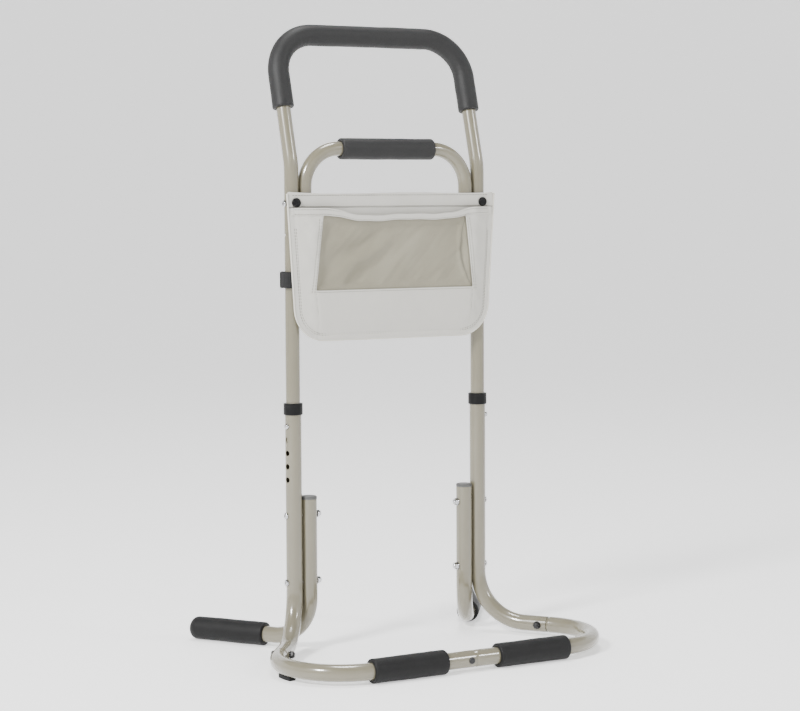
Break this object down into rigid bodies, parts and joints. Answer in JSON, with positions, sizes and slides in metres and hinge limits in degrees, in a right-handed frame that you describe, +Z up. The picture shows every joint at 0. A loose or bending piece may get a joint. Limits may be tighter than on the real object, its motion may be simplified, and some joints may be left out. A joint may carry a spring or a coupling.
{
  "type": "toilet safety frame",
  "caption": "Free-standing stand-assist frame with height-adjustable legs, two padded grab handles, a splayed floor base and a hanging storage pouch.",
  "frame": {"origin": "on the floor, in the middle of the footprint", "axes": "+Z up, +X to the right of a person looking at the pouch, the pouch faces -Y and the main handle leans back to +Y"},
  "size_m": [0.544, 0.4496, 0.965],
  "materials": {
    "painted_steel": "gloss",
    "charcoal_foam": "matte foam",
    "black_plastic": "satin",
    "grey_plastic": "satin",
    "black_rubber": "matte",
    "chrome": "polished",
    "black_steel": "satin",
    "spring_steel": "satin",
    "light_grey_fabric": "woven",
    "mesh": "open mesh",
    "binding": "woven tape",
    "black_webbing": "woven"
  },
  "bodies": {
    "base": {"lower_leg_left": "painted_steel", "lower_leg_right": "painted_steel", "rear_leg_left": "painted_steel", "rear_leg_right": "painted_steel", "front_base_left": "painted_steel", "front_base_right": "painted_steel", "rear_foot_foam_left": "charcoal_foam", "rear_foot_foam_right": "charcoal_foam", "front_foam_left": "charcoal_foam", "front_foam_right": "charcoal_foam", "leg_collar_left": "black_plastic", "leg_collar_right": "black_plastic", "rear_tube_plug_left": "black_plastic", "rear_tube_plug_right": "black_plastic", "rear_leg_cap_left": "grey_plastic", "rear_leg_cap_right": "grey_plastic", "corner_pad_left": "black_rubber", "corner_pad_right": "black_rubber", "rear_leg_bolts": "chrome", "rear_leg_washers": "chrome", "rear_leg_nuts": "chrome", "side_joint_bolt_left": "black_steel", "side_joint_bolt_right": "black_steel", "side_joint_nuts": "black_steel", "side_joint_washers": "black_steel", "base_spring": "spring_steel"},
    "upper_frame": {"upper_leg_left": "painted_steel", "upper_leg_right": "painted_steel", "main_handle": "painted_steel", "main_grip": "charcoal_foam", "second_handle": "painted_steel", "second_grip": "charcoal_foam", "second_handle_plugs": "black_plastic", "handle_bolts": "chrome", "handle_washers": "chrome", "handle_nuts": "chrome", "strap_left": "black_webbing", "strap_right": "black_webbing", "pouch_back": "light_grey_fabric", "pouch_pocket": "light_grey_fabric", "pouch_mesh": "mesh", "pocket_hem": "light_grey_fabric", "pouch_binding": "binding", "pouch_snaps": "black_plastic", "snap_studs": "chrome", "height_spring_left": "spring_steel", "height_spring_right": "spring_steel"},
    "button_left": {"height_button_left": "chrome"},
    "button_right": {"height_button_right": "chrome"},
    "splice_button": {"base_button": "black_steel"}
  },
  "joints": [
    {"name": "height_adjust", "type": "slide", "parent": "base", "child": "upper_frame", "axis": [0, 0, 1], "range_m": [-0.082, 0], "deforming": ["height_button_left", "height_button_right"]},
    {"name": "button_left_press", "type": "slide", "parent": "upper_frame", "child": "button_left", "axis": [0.9659, 0.2588, 0], "range_m": [0, 0.005], "stiffness_N_per_m": 900, "springref_m": -0.002, "deforming": ["height_spring_left"]},
    {"name": "button_right_press", "type": "slide", "parent": "upper_frame", "child": "button_right", "axis": [-0.9659, 0.2588, 0], "range_m": [0, 0.005], "stiffness_N_per_m": 900, "springref_m": -0.002, "deforming": ["height_spring_right"]},
    {"name": "splice_button_press", "type": "slide", "parent": "base", "child": "splice_button", "axis": [0, 1, 0], "range_m": [0, 0.0035], "stiffness_N_per_m": 900, "springref_m": -0.002, "deforming": ["base_spring"]}
  ]
}
